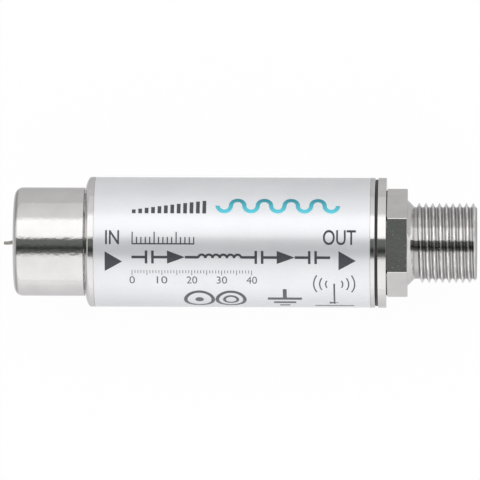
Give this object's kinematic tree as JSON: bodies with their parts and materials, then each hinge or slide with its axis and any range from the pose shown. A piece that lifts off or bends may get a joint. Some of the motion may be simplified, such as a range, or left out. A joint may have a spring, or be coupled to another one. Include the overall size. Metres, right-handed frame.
{
  "type": "tv signal amplifier",
  "caption": "Round in-line aerial signal amplifier with a turning push-on plug at one end, a hexagon flange and threaded coaxial socket at the other, and a foil label round its metal tube.",
  "frame": {"origin": "middle of the part's length, on its long axis", "axes": "+X runs along the long axis from the push-on plug to the threaded socket; +Z is the side that shows the front of the label; the part lies on its side"},
  "size_m": [0.0558, 0.0153, 0.0152],
  "materials": {
    "housing_nickel": "bright nickel plate",
    "coupling_nickel": "bright nickel plate",
    "socket_nickel": "bright nickel plate",
    "label_foil": "silver polyester film with grey and teal print",
    "seal_black": "matte",
    "insulator_white": "satin",
    "contact_bronze": "gold flashed spring bronze",
    "pin_copper": "tinned copper",
    "steel_zinc": "zinc plate",
    "board_laminate": "green solder mask on glass laminate",
    "board_copper": "tinned copper foil",
    "solder_tin": "bright solder",
    "spring_bronze": "phosphor bronze",
    "chip_black": "moulded epoxy",
    "capacitor_ceramic": "fired ceramic",
    "resistor_black": "glazed film on ceramic",
    "tantalum_yellow": "moulded epoxy",
    "ferrite_grey": "sintered ferrite",
    "winding_enamel": "enamelled copper wire",
    "terminal_tin": "tin plate"
  },
  "bodies": {
    "amplifier_case": {"housing": "housing_nickel", "wrap_label": "label_foil", "end_cap": "housing_nickel", "seam_seal": "seal_black", "socket_body": "socket_nickel", "socket_front_insulator": "insulator_white", "socket_contact": "contact_bronze", "socket_rear_insulator": "insulator_white", "socket_tooth_washer": "steel_zinc", "socket_lock_nut": "steel_zinc", "plug_post": "housing_nickel", "plug_insulator": "insulator_white", "centre_pin": "pin_copper", "circuit_board": "board_laminate", "ground_plane": "board_copper", "copper_tracks": "board_copper", "solder_joints": "solder_tin", "earth_springs": "spring_bronze", "coupling_capacitors": "capacitor_ceramic", "bias_resistors": "resistor_black", "smoothing_capacitor": "tantalum_yellow", "surge_diode": "chip_black", "chip_terminals": "terminal_tin", "amplifier_chip": "chip_black", "amplifier_leads": "terminal_tin", "choke_cores": "ferrite_grey", "choke_windings": "winding_enamel"},
    "coupling": {"coupling_sleeve": "coupling_nickel", "coupling_collet": "coupling_nickel"}
  },
  "joints": [
    {"name": "coupling_spin", "type": "hinge", "parent": "amplifier_case", "child": "coupling", "pos_m": [-0.01875, 0, 0], "axis": [1, 0, 0], "continuous": true}
  ]
}
